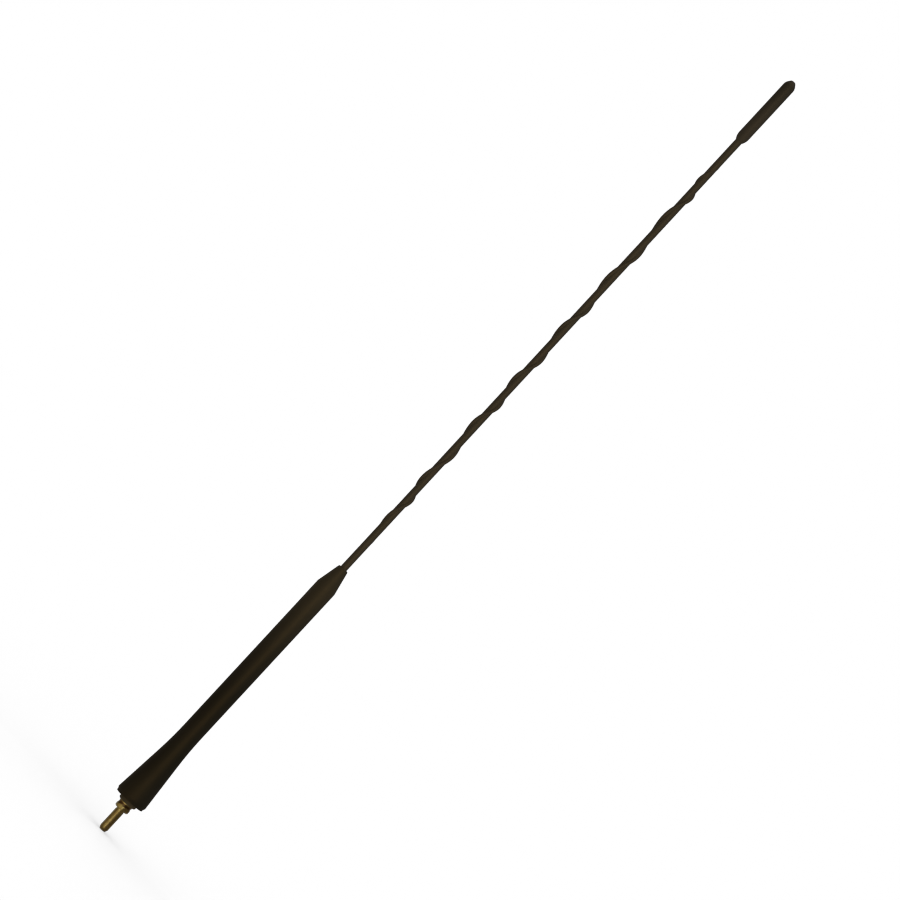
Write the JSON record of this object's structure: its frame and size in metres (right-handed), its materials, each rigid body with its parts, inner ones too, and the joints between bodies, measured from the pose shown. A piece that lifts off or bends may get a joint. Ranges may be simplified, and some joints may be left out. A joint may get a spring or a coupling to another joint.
{
  "type": "car mast aerial",
  "caption": "Screw-in car mast aerial: threaded brass stud with a hexagon, flared rubber base sleeve, slim black whip with a spiral ridge and a round-ended tip cap.",
  "frame": {"origin": "centre of the hexagon's underside, where the mast is screwed down on its socket", "axes": "+Z along the mast towards its tip; a corner of the hexagon points along -Y"},
  "size_m": [0.019, 0.019, 0.55],
  "materials": {
    "stud": "turned brass, slightly tarnished",
    "ring": "moulded black rubber, satin",
    "sleeve": "moulded black rubber, matte",
    "former": "natural nylon",
    "coil": "enamelled copper wire",
    "ferrule": "turned brass",
    "rod": "drawn spring steel",
    "sheath": "black polyolefin, semi-matte",
    "cap": "moulded black plastic, semi-matte"
  },
  "bodies": {
    "root": {"mounting_stud": "stud", "seal_ring": "ring", "base_sleeve": "sleeve", "coil_former": "former", "loading_coil": "coil", "whip_ferrule": "ferrule", "whip_rod": "rod", "whip_sheath": "sheath", "tip_cap": "cap"}
  },
  "joints": []
}
